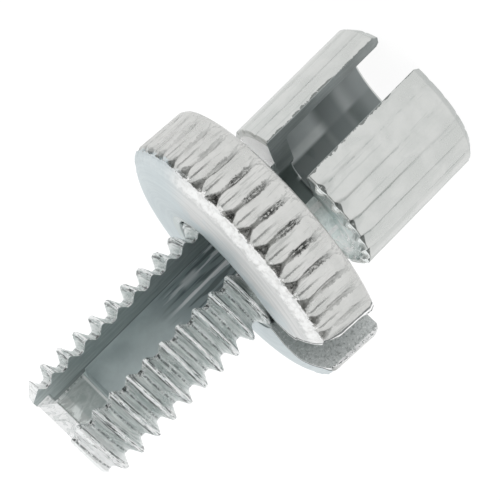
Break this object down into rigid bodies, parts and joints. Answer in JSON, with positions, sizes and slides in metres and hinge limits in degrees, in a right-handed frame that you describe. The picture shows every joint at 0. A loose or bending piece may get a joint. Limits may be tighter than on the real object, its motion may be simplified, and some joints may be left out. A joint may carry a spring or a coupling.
{
  "type": "cable adjuster",
  "caption": "Slotted cable adjuster: threaded hollow screw with a fluted socket head, and a knurled, slotted lock ring on its thread.",
  "frame": {"origin": "centre of the head's open end, on the axis", "axes": "+Z along the axis from the open end of the head to the threaded tip; the screw's cable slot opens towards -Y and the ring's slot towards -X"},
  "size_m": [0.0133, 0.0134, 0.022],
  "materials": {
    "screw_plating": "bright zinc plating on turned steel",
    "ring_plating": "bright zinc plating on knurled steel"
  },
  "bodies": {
    "screw": {"adjuster_screw": "screw_plating"},
    "ring": {"lock_ring": "ring_plating"}
  },
  "joints": [
    {"name": "lock_ring_turn", "type": "hinge", "parent": "screw", "child": "ring", "pos_m": [0, 0, 0.0102], "axis": [0, 0, 1], "continuous": true}
  ]
}
